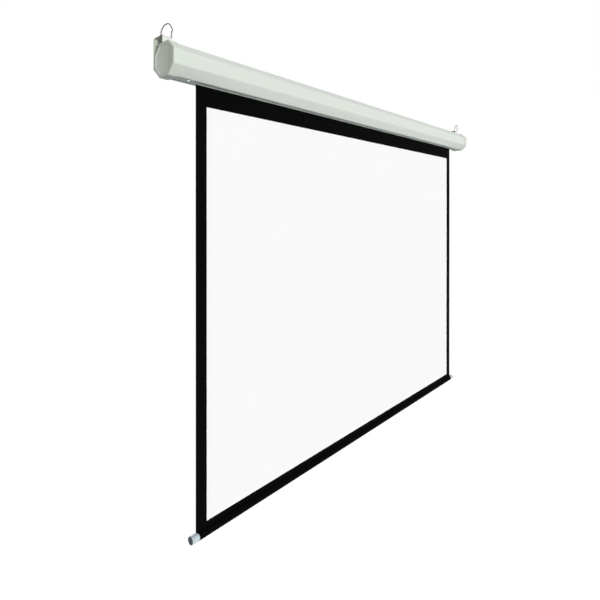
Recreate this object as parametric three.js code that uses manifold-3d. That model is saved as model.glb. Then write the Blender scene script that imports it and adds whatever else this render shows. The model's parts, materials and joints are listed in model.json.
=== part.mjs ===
// A motorized projector screen, pulled down: an octagonal case that hangs from two wire bails, a roller
// with a tubular motor inside it, the fabric, and the weight tube in the fabric's hem.
// Lengths are in millimetres. X runs along the case, +Y points to the wall behind, +Z points up.
// The origin is the middle of the case's flat back.
import * as THREE from 'three';
import { mergeVertices } from 'three/addons/utils/BufferGeometryUtils.js';
import Module from 'manifold-3d';

const wasm = await Module();
wasm.setup();

// Clearances
const fit = 0.3;
const overrun = 2;

// Picture and fabric
const pictureWidth = 1707;
const pictureHeight = 1280;
const sideBorder = 40;
const topDrop = 62;
const bottomBorder = 44;
const fabricThickness = 0.45;
const turnsLeft = 1.5;

// Case
const endRoom = 111.5;
const frontRoom = 11.5;
const caseHeight = 94;
const chamferDepth = 28;
const chamferHeight = 26;
const caseWall = 1.2;
const slotMargin = 8;
const slotWidth = 16;
const lipHeight = 6;

// Strips along the slot
const guideThickness = 2;
const guideDrop = 2;
const guideEndGap = 1;

// End caps
const capWall = 2;
const capEndWall = 4;
const capSleeve = 28;
const capEdge = 1.2;
const panelRim = 9;
const panelRecess = 1.4;

// End plates
const plateThickness = 2;
const plateSetback = 4;
const bottomTabWidth = 14;
const rearTabLength = 16;
const rearTabHeight = 40;
const plateScrewInset = 73.5;
const plateScrewMargin = 10;

// Hangers
const strapThickness = 2.5;
const strapRise = 25;
const strapReach = 44.5;
const strapBend = 4;
const strapTail = 22;
const knuckleRadius = 4.5;

// Wire bails
const wireRadius = 1.6;
const wireGap = 0.8;
const bailLeg = 22.6;
const bailForward = 7.1;
const bailElbow = 3;
const bailTongue = 7;

// Screws
const screwRadius = 2;
const screwHeadRadius = 4;
const screwHeadHeight = 2;
const flushHeadHeight = 1.9;
const hangerScrewPitch = 24;
const bracketScrewSpread = 25;
const screwGrip = 5;

// Roller
const rollerRadius = 22;
const rollerWall = 1.2;
const ribWidth = 4;
const ribDepth = 2;

// Tubular motor
const motorRadius = 17.5;
const motorLength = 380;
const gearboxLength = 90;
const headRadius = 21.5;
const headLength = 34;
const headPadDrop = 23;
const headPadFront = 7;
const headPadRear = 15;
const headPinSide = 12;
const headPinNeck = 11.8;
const headPinEnd = 3.2;
const limitRingLength = 10;
const flangeThickness = 2;
const shaftRadius = 5.8;
const shaftLength = 26;
const driveWheelWidth = 14;
const driveWheelInset = 5;
const driveScrewRadius = 1.8;
const driveScrewHead = 7;
const driveScrewLength = 12;

// Limit-setting screws
const limitScrewRadius = 2.5;
const limitScrewLength = 10;
const limitScrewSocket = 1.4;
const limitScrewSocketDepth = 4;
const limitScrewInset = 8;
const limitScrewPitch = 10;
const accessRadius = 3;

// Brackets inside the end plates
const bracketSheet = 2;
const bracketWidth = 30;
const bracketHalfHeight = 18;
const bracketFoot = 14;
const bracketDepth = 46;
const splitPinRadius = 1.3;
const splitPinLength = 20;

// Idler
const idlerGap = 8.6;
const idlerPlugLength = 30;
const bushRadius = 8;
const idlerPinRadius = 5;
const idlerPinReach = 38;
const idlerPinHead = 8;
const ringThickness = 1.2;

// Supply lead's way in
const grommetBore = 3.5;
const grommetNeck = 5.7;
const grommetFlange = 8;
const grommetLip = 1;
const grommetBack = 25;
const grommetDrop = 15;
const terminalLength = 36;
const terminalDepth = 13;
const terminalHeight = 16;
const terminalInset = 38;
const terminalWays = 3;
const terminalHoleRadius = 1.8;

// Weight tube
const tubeRadius = 12;
const tubeWall = 1.2;
const tubePastFabric = 20;
const hemInset = 7;
const hemFlap = 15;
const plugFlange = 2;
const plugSpigot = 18;
const plugDish = 7.5;
const plugDishDepth = 1.2;

// Smoothness of round pieces
const roundSides = 40;
const smallSides = 20;
const wireSides = 8;
const wireSteps = 52;
const bendSegments = 5;
const edgeSegments = 2;
const hexSides = 6;
const quarterArcShare = 0.5523;

// Places worked out from the sizes above
const fabricHalf = pictureWidth / 2 + sideBorder;
const halfLength = fabricHalf + endRoom;
const halfHeight = caseHeight / 2;
const slotRear = -chamferDepth - slotMargin;
const slotFront = slotRear - slotWidth;
const fabricY = (slotFront + slotRear) / 2;
const rollRadius = rollerRadius + fit + turnsLeft * fabricThickness;
const rollerY = fabricY - fabricThickness / 2 - fit - rollRadius;
const caseDepth = rollRadius + frontRoom - rollerY;
const hemRadius = tubeRadius + fit + fabricThickness;
const hemBottom = -halfHeight - topDrop - pictureHeight - bottomBorder;
const tubeZ = hemBottom + hemRadius;
const capOffset = fit + capWall;
const shellEnd = halfLength - capEndWall - fit;
const plateOut = shellEnd - plateSetback;
const plateIn = plateOut - plateThickness;
const footIn = plateIn - fit;
const webOut = footIn - bracketDepth + bracketSheet;
const webIn = webOut - bracketSheet;
const strapX = halfLength - capSleeve / 2;
const strapInnerY = capOffset + fit;
const strapTop = halfHeight + strapRise;
const sinkFloor = strapInnerY + strapThickness - fit - flushHeadHeight;
const headFlare = (screwHeadRadius - screwRadius) / flushHeadHeight;
const knuckleY = knuckleRadius - strapReach;
const knuckleZ = strapTop - knuckleRadius;
const bottomFlatY = (chamferDepth - caseDepth + slotFront - caseWall) / 2;
const plateScrewX = halfLength - plateScrewInset;
const headOut = webIn - headPinNeck;
const headIn = headOut - headLength;
const rollerRight = headIn - fit - flangeThickness - fit;
const plugFace = webIn - idlerGap;
const rollerLeft = fit + flangeThickness - plugFace;
const rollerInner = rollerRadius - rollerWall;
const rimRadius = rollerInner - fit;
const motorEnd = headIn - fit - motorLength;
const gearboxEnd = motorEnd - fit - gearboxLength;
const shaftEnd = gearboxEnd - fit - shaftLength;
const driveWheelIn = shaftEnd + driveWheelInset;
const limitScrewX = headIn + limitScrewInset;
const boreRadius = screwRadius + fit;

// Materials
const paint = { roughness: 0.45, metalness: 0.1 };
const plastic = { roughness: 0.55, metalness: 0 };
const metal = { roughness: 0.35, metalness: 0.9 };
const cloth = { roughness: 0.9, metalness: 0 };
const colours = {
  case: 0xdde4da, cap: 0xe2e4de, hanger: 0xdfe3dc, wire: 0x8d8780, zinc: 0xb9bcbe, guide: 0xb4bab5,
  fabric: 0xf4f4f2, hem: 0x0b0b0c, tube: 0xc4d0d6, plug: 0x39444c, motor: 0x6c7378, head: 0x24272a,
  roller: 0xc9ccce, nylon: 0xe8e6dc, screw: 0xd9d04a, rubber: 0x1b1c1d, terminal: 0xe9ebe6,
};

// Solids from geometries, and back
function solidOf(geometry) {
  const bare = geometry.clone();
  bare.deleteAttribute('normal');
  bare.deleteAttribute('uv');
  const merged = mergeVertices(bare);
  const vertProperties = Float32Array.from(merged.attributes.position.array);
  const triVerts = Uint32Array.from(merged.index.array);
  return new wasm.Manifold(new wasm.Mesh({ numProp: 3, vertProperties, triVerts }));
}

function geometryOf(solid) {
  const mesh = solid.getMesh();
  const geometry = new THREE.BufferGeometry();
  geometry.setAttribute('position', new THREE.BufferAttribute(mesh.vertProperties, 3));
  geometry.setIndex(new THREE.BufferAttribute(mesh.triVerts, 1));
  geometry.computeVertexNormals();
  return geometry;
}

function cut(body, ...tools) {
  return tools.reduce((left, tool) => left.subtract(tool), body);
}

function join(body, ...more) {
  return more.reduce((whole, piece) => whole.add(piece), body);
}

// A box between two corners
function block(low, high) {
  const size = high.map((value, axis) => value - low[axis]);
  const middle = high.map((value, axis) => (value + low[axis]) / 2);
  return solidOf(new THREE.BoxGeometry(...size).translate(...middle));
}

// A shape drawn in Y and Z, run along X from start to end
function alongX(shape, start, end, bevel = 0) {
  const geometry = new THREE.ExtrudeGeometry(shape, {
    depth: end - start - bevel - bevel,
    curveSegments: bendSegments,
    bevelEnabled: bevel > 0,
    bevelThickness: bevel,
    bevelSize: bevel,
    bevelOffset: -bevel,
    bevelSegments: edgeSegments,
  });
  geometry.translate(0, 0, start + bevel);
  const turn = new THREE.Matrix4();
  turn.makeBasis(new THREE.Vector3(0, 1, 0), new THREE.Vector3(0, 0, 1), new THREE.Vector3(1, 0, 0));
  return solidOf(geometry.applyMatrix4(turn));
}

// A shape drawn in Z and X, run along Y from start to end
function alongY(shape, start, end) {
  const geometry = new THREE.ExtrudeGeometry(shape, { depth: end - start, bevelEnabled: false });
  geometry.translate(0, 0, start);
  const turn = new THREE.Matrix4();
  turn.makeBasis(new THREE.Vector3(0, 0, 1), new THREE.Vector3(1, 0, 0), new THREE.Vector3(0, 1, 0));
  return solidOf(geometry.applyMatrix4(turn));
}

function shapeOf(points) {
  return new THREE.Shape(points.map(([first, second]) => new THREE.Vector2(first, second)));
}

// Round bars along each axis
function barX(radius, start, end, y, z, sides = roundSides) {
  const geometry = new THREE.CylinderGeometry(radius, radius, end - start, sides);
  return solidOf(geometry.rotateZ(-Math.PI / 2).translate((start + end) / 2, y, z));
}

function barY(radius, start, end, x, z, sides = smallSides) {
  const geometry = new THREE.CylinderGeometry(radius, radius, end - start, sides);
  return solidOf(geometry.translate(x, (start + end) / 2, z));
}

function barZ(radius, start, end, x, y, sides = smallSides) {
  const geometry = new THREE.CylinderGeometry(radius, radius, end - start, sides);
  return solidOf(geometry.rotateX(Math.PI / 2).translate(x, y, (start + end) / 2));
}

// A cone along Y, wide at its far end
function coneY(narrow, wide, start, end, x, z) {
  const geometry = new THREE.CylinderGeometry(wide, narrow, end - start, smallSides);
  return solidOf(geometry.translate(x, (start + end) / 2, z));
}

function ringX(outer, inner, start, end, y, z, sides = roundSides) {
  const hole = barX(inner, start - overrun, end + overrun, y, z, sides);
  return cut(barX(outer, start, end, y, z, sides), hole);
}

// The left end mirrors the right end
function mirrored(solid, side) {
  return side > 0 ? solid : solid.mirror([1, 0, 0]);
}

// The case's eight corners, moved outwards by an offset, anticlockwise in Y and Z from the bottom's front
function sectionCorners(offset) {
  const slope = Math.hypot(chamferDepth, chamferHeight);
  const growth = offset * (chamferDepth + chamferHeight - slope) / (chamferDepth * chamferHeight);
  const cornerY = chamferDepth * (1 + growth);
  const cornerZ = chamferHeight * (1 + growth);
  const front = -caseDepth - offset;
  const back = offset;
  const top = halfHeight + offset;
  return [
    [front + cornerY, -top], [back - cornerY, -top], [back, cornerZ - top], [back, top - cornerZ],
    [back - cornerY, top], [front + cornerY, top], [front, top - cornerZ], [front, cornerZ - top],
  ];
}

// Case: a bent sheet, open along the slot, with its two edges turned up inside
function caseShell() {
  const [bottomFront, bottomRear, ...others] = sectionCorners(0);
  const [innerFront, innerRear, ...innerOthers] = sectionCorners(-caseWall);
  const floor = -halfHeight + caseWall;
  const lipTop = -halfHeight + lipHeight;
  const outline = [
    [slotRear, -halfHeight], bottomRear, ...others, bottomFront, [slotFront, -halfHeight],
    [slotFront, lipTop], [slotFront - caseWall, lipTop], [slotFront - caseWall, floor],
    innerFront, ...innerOthers.reverse(), innerRear,
    [slotRear + caseWall, floor], [slotRear + caseWall, lipTop], [slotRear, lipTop],
  ];
  const shell = alongX(shapeOf(outline), -shellEnd, shellEnd);
  const below = -halfHeight - overrun;
  const above = -halfHeight + caseWall + overrun;
  const holes = limitScrewPlaces().map(([x, y]) => barZ(accessRadius, below, above, x, y));
  for (const side of [-1, 1]) {
    holes.push(barZ(boreRadius, below, above, side * plateScrewX, bottomFlatY));
    for (const z of hangerScrewHeights()) {
      holes.push(barY(boreRadius, -caseWall - overrun, overrun, side * strapX, z));
    }
  }
  return cut(shell, ...holes);
}

function hangerScrewHeights() {
  return [-hangerScrewPitch / 2, hangerScrewPitch / 2];
}

function bracketScrewHeights() {
  return [-bracketScrewSpread, bracketScrewSpread];
}

function limitScrewPlaces() {
  return [[limitScrewX, rollerY], [limitScrewX, rollerY + limitScrewPitch]];
}

// Edge strips glued to the turned-up edges of the slot; they keep the fabric off the sheet's edge
function slotGuide(side) {
  const wall = side < 0 ? slotFront + fit : slotRear - fit;
  const face = wall - side * guideThickness;
  const nose = wall - side * guideThickness / 2;
  const low = -halfHeight - guideDrop;
  const outline = [
    [wall, -halfHeight + lipHeight], [wall, low + guideThickness / 2], [nose, low],
    [face, low + guideThickness / 2], [face, -halfHeight + lipHeight],
  ];
  const end = halfLength - capSleeve - guideEndGap;
  const order = side < 0 ? outline : outline.reverse();
  return alongX(shapeOf(order), -end, end);
}

// End cap: an octagonal sleeve with a sunk panel in its outer face
function endCap(side) {
  const start = halfLength - capSleeve;
  const body = alongX(shapeOf(sectionCorners(capOffset)), start, halfLength, capEdge);
  const pocket = alongX(shapeOf(sectionCorners(fit)), start - overrun, halfLength - capEndWall);
  const panel = shapeOf(sectionCorners(capOffset - panelRim));
  const recess = alongX(panel, halfLength - panelRecess, halfLength + overrun);
  const holes = hangerScrewHeights().map(
    (z) => barY(boreRadius, -overrun, capOffset + overrun, strapX, z));
  if (side > 0) {
    const wallIn = halfLength - capEndWall - overrun;
    holes.push(barX(grommetNeck + fit, wallIn, halfLength, -grommetBack, -grommetDrop, smallSides));
  }
  return mirrored(cut(body, pocket, recess, ...holes), side);
}

// End plate: closes the case inside the cap, with a long tab on the floor and a short one at the back
function endPlate(side) {
  const inset = caseWall + fit;
  const plate = alongX(shapeOf(sectionCorners(-inset)), plateIn, plateOut);
  const floor = -halfHeight + inset;
  const tabTop = floor + plateThickness;
  const tabFront = bottomFlatY - bottomTabWidth / 2;
  const bottomTab = block([plateScrewX - plateScrewMargin, tabFront, floor],
    [plateOut, tabFront + bottomTabWidth, tabTop]);
  const rearTab = block([plateOut - rearTabLength, -inset - plateThickness, -rearTabHeight / 2],
    [plateOut, -inset, rearTabHeight / 2]);
  const lipGap = caseWall + fit;
  const notch = block([plateIn - overrun, slotFront - lipGap, -halfHeight - overrun],
    [plateOut + overrun, slotRear + lipGap, -halfHeight + lipHeight + fit]);
  const tabHole = barZ(boreRadius, floor - overrun, tabTop + overrun, plateScrewX, bottomFlatY);
  const holes = [notch, tabHole];
  for (const z of hangerScrewHeights()) {
    holes.push(barY(boreRadius, -inset - plateThickness - overrun, overrun, strapX, z));
  }
  for (const z of bracketScrewHeights()) {
    holes.push(barX(boreRadius, plateIn - overrun, plateOut + overrun, rollerY, z, smallSides));
  }
  if (side > 0) {
    const start = plateIn - overrun;
    holes.push(barX(grommetNeck, start, plateOut + overrun, -grommetBack, -grommetDrop, smallSides));
  }
  return mirrored(cut(join(plate, bottomTab, rearTab), ...holes), side);
}

// Hanger: a strap from the cap's top over its back, its front edge rolled into a knuckle for the bail
function hanger(side) {
  const outerY = strapInnerY + strapThickness;
  const outerBend = strapBend + strapThickness;
  const cornerY = outerY - outerBend;
  const cornerZ = strapTop - outerBend;
  const foot = halfHeight + capOffset + fit;
  const shape = new THREE.Shape();
  shape.moveTo(-strapReach, foot);
  shape.lineTo(-strapReach + strapThickness, foot);
  shape.lineTo(-strapReach + strapThickness, knuckleZ);
  shape.lineTo(knuckleY, strapTop - strapThickness);
  shape.lineTo(cornerY, strapTop - strapThickness);
  shape.absarc(cornerY, cornerZ, strapBend, Math.PI / 2, 0, true);
  shape.lineTo(strapInnerY, -strapTail);
  shape.lineTo(outerY, -strapTail);
  shape.absarc(cornerY, cornerZ, outerBend, 0, Math.PI / 2, false);
  shape.lineTo(knuckleY, strapTop);
  shape.lineTo(-strapReach, knuckleZ);
  const start = strapX - capSleeve / 2;
  const end = strapX + capSleeve / 2;
  const strap = alongX(shape, start, end);
  const knuckle = barX(knuckleRadius, start, end, knuckleY, knuckleZ, smallSides);
  const bore = barX(wireRadius + fit, start - overrun, end + overrun, knuckleY, knuckleZ, smallSides);
  const holes = hangerScrewHeights().map(
    (z) => barY(boreRadius, strapInnerY - overrun, outerY + overrun, strapX, z));
  const sinkTop = outerY + overrun;
  const sinkRadius = boreRadius + headFlare * (sinkTop - sinkFloor);
  const sinks = hangerScrewHeights().map((z) => coneY(boreRadius, sinkRadius, sinkFloor, sinkTop, strapX, z));
  return mirrored(cut(join(strap, knuckle), bore, ...holes, ...sinks), side);
}

// Wire bail: an arch whose two ends turn in and sit in the hanger's knuckle; it leans to the front
function bail(side) {
  const reach = capSleeve / 2 + wireGap + wireRadius;
  const tongue = reach - capSleeve / 2 + bailTongue;
  const crown = bailLeg + reach;
  const lean = Math.asin(bailForward / crown);
  const point = (x, up) => new THREE.Vector3(
    side * strapX + x, knuckleY - up * Math.sin(lean), knuckleZ + up * Math.cos(lean));
  const path = new THREE.CurvePath();
  const half = (sign) => {
    const tip = point(sign * (reach - tongue), 0);
    const elbowIn = point(sign * (reach - bailElbow), 0);
    const elbow = point(sign * reach, 0);
    const elbowOut = point(sign * reach, bailElbow);
    const shoulder = point(sign * reach, bailLeg);
    return { tip, elbowIn, elbow, elbowOut, shoulder };
  };
  const left = half(-1);
  const right = half(1);
  const quarter = reach * quarterArcShare;
  const top = point(0, crown);
  path.add(new THREE.LineCurve3(left.tip, left.elbowIn));
  path.add(new THREE.QuadraticBezierCurve3(left.elbowIn, left.elbow, left.elbowOut));
  path.add(new THREE.LineCurve3(left.elbowOut, left.shoulder));
  path.add(new THREE.CubicBezierCurve3(
    left.shoulder, point(-reach, bailLeg + quarter), point(-quarter, crown), top));
  path.add(new THREE.CubicBezierCurve3(
    top, point(quarter, crown), point(reach, bailLeg + quarter), right.shoulder));
  path.add(new THREE.LineCurve3(right.shoulder, right.elbowOut));
  path.add(new THREE.QuadraticBezierCurve3(right.elbowOut, right.elbow, right.elbowIn));
  path.add(new THREE.LineCurve3(right.elbowIn, right.tip));
  const section = new THREE.Shape().absarc(0, 0, wireRadius, 0, 2 * Math.PI, false);
  return solidOf(new THREE.ExtrudeGeometry(section, {
    steps: wireSteps,
    curveSegments: wireSides / 2,
    bevelEnabled: false,
    extrudePath: path,
  }));
}

// Hanger screws: countersunk, with their heads sunk level with the strap's back
function hangerScrew(side, z) {
  const tip = -caseWall - fit - plateThickness;
  const head = coneY(screwRadius, screwHeadRadius, sinkFloor, sinkFloor + flushHeadHeight, side * strapX, z);
  return join(head, barY(screwRadius, tip, sinkFloor + flushHeadHeight, side * strapX, z));
}

// Pan-head screws: the head's underside stands on the given face, the shank runs into the work
function panScrew(barAlong, face, outwards, length, first, second) {
  const headTop = face + outwards * screwHeadHeight;
  const tip = face - outwards * length;
  const head = barAlong(screwHeadRadius, Math.min(face, headTop), Math.max(face, headTop), first, second);
  const shank = barAlong(screwRadius, Math.min(tip, headTop), Math.max(tip, headTop), first, second);
  return join(head, shank);
}

function plateScrew(side) {
  return panScrew(barZ, -halfHeight - fit, -1, screwGrip, side * plateScrewX, bottomFlatY);
}

function bracketScrew(side, z) {
  const along = (radius, start, end, y, height) => barX(radius, start, end, y, height, smallSides);
  return mirrored(panScrew(along, plateOut + fit, 1, screwGrip, rollerY, z), side);
}

// Bracket: a bent hat of sheet steel whose feet stand on the end plate
function bracket(side) {
  const inner = bracketHalfHeight - bracketSheet;
  const footEnd = bracketHalfHeight + bracketFoot;
  const footTop = footIn - bracketSheet;
  const outline = [
    [-bracketHalfHeight, webIn], [bracketHalfHeight, webIn], [bracketHalfHeight, footTop],
    [footEnd, footTop], [footEnd, footIn], [inner, footIn], [inner, webOut],
    [-inner, webOut], [-inner, footIn], [-footEnd, footIn], [-footEnd, footTop],
    [-bracketHalfHeight, footTop],
  ];
  const front = rollerY - bracketWidth / 2;
  const hat = alongY(shapeOf(outline), front, front + bracketWidth);
  const holes = bracketScrewHeights().map(
    (z) => barX(boreRadius, footTop - overrun, footIn + overrun, rollerY, z, smallSides));
  if (side > 0) {
    const opening = headPinSide / 2 + fit;
    holes.push(block([webIn - overrun, rollerY - opening, -opening],
      [webOut + overrun, rollerY + opening, opening]));
  } else {
    holes.push(barX(idlerPinRadius + fit, webIn - overrun, webOut + overrun, rollerY, 0));
  }
  return mirrored(cut(hat, ...holes), side);
}

// Motor
function motorHead() {
  const round = barX(headRadius, headIn, headOut, rollerY, 0);
  const pad = block([headIn, rollerY - headPadFront, -headPadDrop], [headOut, rollerY + headPadRear, 0]);
  const half = headPinSide / 2;
  const pinTip = webOut + headPinEnd;
  const pin = block([headOut - overrun, rollerY - half, -half], [pinTip, rollerY + half, half]);
  const pinHole = barZ(splitPinRadius + fit, -headPinSide, headPinSide, splitPinX(), rollerY);
  const sockets = limitScrewPlaces().map(([x, y]) => barZ(
    limitScrewRadius + fit, -headPadDrop - overrun, limitScrewLength + fit - headPadDrop, x, y));
  return cut(join(round, pad, pin), pinHole, ...sockets);
}

function splitPinX() {
  return webOut + fit + splitPinRadius;
}

function splitPin() {
  return barZ(splitPinRadius, -splitPinLength / 2, splitPinLength / 2, splitPinX(), rollerY);
}

function motorTube() {
  return barX(motorRadius, motorEnd, headIn - fit, rollerY, 0);
}

function gearboxTube() {
  return barX(motorRadius, gearboxEnd, motorEnd - fit, rollerY, 0);
}

function limitScrew(index) {
  const [x, y] = limitScrewPlaces()[index];
  const screw = barZ(limitScrewRadius, -headPadDrop, limitScrewLength - headPadDrop, x, y);
  const socketTop = limitScrewSocketDepth - headPadDrop;
  return cut(screw, barZ(limitScrewSocket, -headPadDrop - overrun, socketTop, x, y, hexSides));
}

// Roller and what turns with it
function keyRib(extra) {
  const half = ribWidth / 2 + extra;
  const low = rollerInner - ribDepth - extra;
  return { half, low };
}

function keySlot(start, end) {
  const { half, low } = keyRib(fit);
  return block([start - overrun, rollerY - half, low], [end + overrun, rollerY + half, rollerRadius]);
}

function rollerTube() {
  const tube = ringX(rollerRadius, rollerInner, rollerLeft, rollerRight, rollerY, 0);
  const { half, low } = keyRib(0);
  const ribTop = rollerInner + rollerWall / 2;
  const rib = block([rollerLeft, rollerY - half, low], [rollerRight, rollerY + half, ribTop]);
  return join(tube, rib);
}

function fabricRoll() {
  return ringX(rollRadius, rollerRadius + fit, -fabricHalf, fabricHalf, rollerY, 0);
}

function limitRing() {
  const start = rollerRight - limitRingLength;
  const faceOut = rollerRight + fit + flangeThickness;
  const flange = barX(rollerRadius, rollerRight + fit, faceOut, rollerY, 0);
  const body = cut(barX(rimRadius, start, faceOut, rollerY, 0), keySlot(start, rollerRight - overrun + fit));
  const hole = barX(motorRadius + fit, start - overrun, faceOut + overrun, rollerY, 0);
  return cut(join(body, flange), hole);
}

function hexBar(radius, start, end) {
  return barX(radius, start, end, rollerY, 0, hexSides);
}

function outputShaft() {
  const shaft = hexBar(shaftRadius, shaftEnd, gearboxEnd - fit);
  const bottom = shaftEnd + driveScrewLength;
  const tapped = barX(driveScrewRadius + fit, shaftEnd - overrun, bottom, rollerY, 0, smallSides);
  return cut(shaft, tapped);
}

function driveWheel() {
  const end = driveWheelIn + driveWheelWidth;
  const rim = cut(barX(rimRadius, driveWheelIn, end, rollerY, 0), keySlot(driveWheelIn, end));
  return cut(rim, hexBar(shaftRadius + fit, driveWheelIn - overrun, end + overrun));
}

function driveScrew() {
  const face = shaftEnd - fit;
  const head = barX(driveScrewHead, face - screwHeadHeight, face, rollerY, 0, smallSides);
  const shankEnd = shaftEnd + driveScrewLength - screwHeadHeight;
  const shank = barX(driveScrewRadius, face - screwHeadHeight, shankEnd, rollerY, 0, smallSides);
  return join(head, shank);
}

function idlerPlug() {
  const end = rollerLeft + idlerPlugLength;
  const flange = barX(rollerRadius, -plugFace, rollerLeft - fit, rollerY, 0);
  const body = cut(barX(rimRadius, -plugFace, end, rollerY, 0), keySlot(rollerLeft, end));
  const whole = join(body, flange);
  return cut(whole, barX(bushRadius + fit, -plugFace - overrun, end + overrun, rollerY, 0, smallSides));
}

function idlerBush() {
  const inner = idlerPinRadius + fit;
  return ringX(bushRadius, inner, -plugFace, rollerLeft + idlerPlugLength, rollerY, 0, smallSides);
}

function idlerPin() {
  const start = -webOut - fit;
  const head = barX(idlerPinHead, start - screwHeadHeight, start, rollerY, 0, smallSides);
  const tip = start + idlerPinReach;
  return join(head, barX(idlerPinRadius, start - screwHeadHeight, tip, rollerY, 0, smallSides));
}

function idlerRing() {
  const start = -webIn + fit;
  const inner = idlerPinRadius + fit;
  return ringX(idlerPinHead, inner, start, start + ringThickness, rollerY, 0, smallSides);
}

// Where the supply lead comes in
function grommet() {
  const panel = halfLength - panelRecess;
  const wallIn = halfLength - capEndWall;
  const profile = [
    [grommetBore, wallIn - fit - grommetLip], [grommetFlange, wallIn - fit - grommetLip],
    [grommetFlange, wallIn - fit], [grommetNeck, wallIn - fit], [grommetNeck, panel + fit],
    [grommetFlange, panel + fit], [grommetFlange, panel + fit + grommetLip],
    [grommetBore, panel + fit + grommetLip], [grommetBore, wallIn - fit - grommetLip],
  ];
  const points = profile.map(([radius, x]) => new THREE.Vector2(radius, x));
  const ring = new THREE.LatheGeometry(points, smallSides);
  return solidOf(ring.rotateZ(-Math.PI / 2).translate(0, -grommetBack, -grommetDrop));
}

function terminalBlock() {
  const start = plateIn - terminalInset - terminalLength / 2;
  const back = -caseWall - fit;
  const low = -terminalHeight / 2;
  const body = block([start, back - terminalDepth, low], [start + terminalLength, back, -low]);
  const pitch = terminalLength / terminalWays;
  const holes = [];
  for (let way = 0; way < terminalWays; way += 1) {
    const x = start + pitch * (way + 1 / 2);
    holes.push(barZ(terminalHoleRadius, low - overrun, overrun - low, x, back - terminalDepth / 2));
  }
  return cut(body, ...holes);
}

// Fabric, its hem and the weight tube
function fabricPanel() {
  const low = tubeZ + hemRadius + fit;
  const half = fabricThickness / 2;
  return block([-fabricHalf, fabricY - half, low], [fabricHalf, fabricY + half, 0]);
}

function hemPocket() {
  const half = fabricHalf - hemInset;
  const pocket = barX(hemRadius, -half, half, fabricY, tubeZ);
  const flapY = fabricY + fabricThickness / 2 + fit;
  const flapTop = tubeZ + hemRadius + hemFlap;
  const flap = block([-half, flapY, tubeZ], [half, flapY + fabricThickness, flapTop]);
  const bore = barX(tubeRadius + fit, -half - overrun, half + overrun, fabricY, tubeZ);
  return cut(join(pocket, flap), bore);
}

function tubeEnd() {
  return fabricHalf + tubePastFabric - plugFlange - fit;
}

function weightTube() {
  return ringX(tubeRadius, tubeRadius - tubeWall, -tubeEnd(), tubeEnd(), fabricY, tubeZ);
}

function tubePlug(side) {
  const face = tubeEnd() + fit;
  const flange = barX(tubeRadius, face, face + plugFlange, fabricY, tubeZ);
  const spigotRadius = tubeRadius - tubeWall - fit;
  const spigot = barX(spigotRadius, face - plugSpigot, face + plugFlange, fabricY, tubeZ);
  const dishBottom = face + plugFlange - plugDishDepth;
  const dishTop = face + plugFlange + overrun;
  const dish = ringX(plugDish, plugDish / 2, dishBottom, dishTop, fabricY, tubeZ, smallSides);
  return mirrored(cut(join(flange, spigot), dish), side);
}

// The whole screen, one named mesh for each piece
const screen = new THREE.Group();

function place(name, solid, colour, finish) {
  const material = new THREE.MeshStandardMaterial({ color: colour, ...finish });
  const mesh = new THREE.Mesh(geometryOf(solid), material);
  mesh.name = name;
  screen.add(mesh);
}

place('case_shell', caseShell(), colours.case, paint);
place('slot_guide_front', slotGuide(-1), colours.guide, plastic);
place('slot_guide_rear', slotGuide(1), colours.guide, plastic);
for (const [hand, side] of [['left', -1], ['right', 1]]) {
  place(`end_cap_${hand}`, endCap(side), colours.cap, plastic);
  place(`end_plate_${hand}`, endPlate(side), colours.zinc, metal);
  place(`hanger_${hand}`, hanger(side), colours.hanger, paint);
  place(`bail_${hand}`, bail(side), colours.wire, metal);
  place(`plate_screw_${hand}`, plateScrew(side), colours.zinc, metal);
  place(`tube_plug_${hand}`, tubePlug(side), colours.plug, plastic);
  for (const [index, level] of ['lower', 'upper'].entries()) {
    const hangerZ = hangerScrewHeights()[index];
    const bracketZ = bracketScrewHeights()[index];
    place(`hanger_screw_${hand}_${level}`, hangerScrew(side, hangerZ), colours.zinc, metal);
    place(`bracket_screw_${hand}_${level}`, bracketScrew(side, bracketZ), colours.zinc, metal);
  }
}
place('motor_bracket', bracket(1), colours.zinc, metal);
place('motor_head', motorHead(), colours.head, plastic);
place('motor_split_pin', splitPin(), colours.zinc, metal);
place('motor_tube', motorTube(), colours.motor, metal);
place('gearbox_tube', gearboxTube(), colours.motor, metal);
place('limit_screw_up', limitScrew(0), colours.screw, plastic);
place('limit_screw_down', limitScrew(1), colours.screw, plastic);
place('roller_tube', rollerTube(), colours.roller, metal);
place('fabric_roll', fabricRoll(), colours.hem, cloth);
place('limit_ring', limitRing(), colours.nylon, plastic);
place('output_shaft', outputShaft(), colours.zinc, metal);
place('drive_wheel', driveWheel(), colours.nylon, plastic);
place('drive_wheel_screw', driveScrew(), colours.zinc, metal);
place('idler_bracket', bracket(-1), colours.zinc, metal);
place('idler_plug', idlerPlug(), colours.nylon, plastic);
place('idler_bush', idlerBush(), colours.head, plastic);
place('idler_pin', idlerPin(), colours.zinc, metal);
place('idler_ring', idlerRing(), colours.zinc, metal);
place('cable_grommet', grommet(), colours.rubber, cloth);
place('terminal_block', terminalBlock(), colours.terminal, plastic);
place('fabric_panel', fabricPanel(), colours.fabric, cloth);
place('hem_pocket', hemPocket(), colours.hem, cloth);
place('weight_tube', weightTube(), colours.tube, metal);

export default screen;
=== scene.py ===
# A motorized projector screen, pulled down: an octagonal case on two wire bails, white fabric with a black
# border, and a weight tube in the fabric's hem.
# Lengths are in metres. X runs along the case, +Y points to the wall behind, +Z points up.
import json
import math

import bmesh
import bpy
from mathutils import Matrix, Vector


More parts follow.
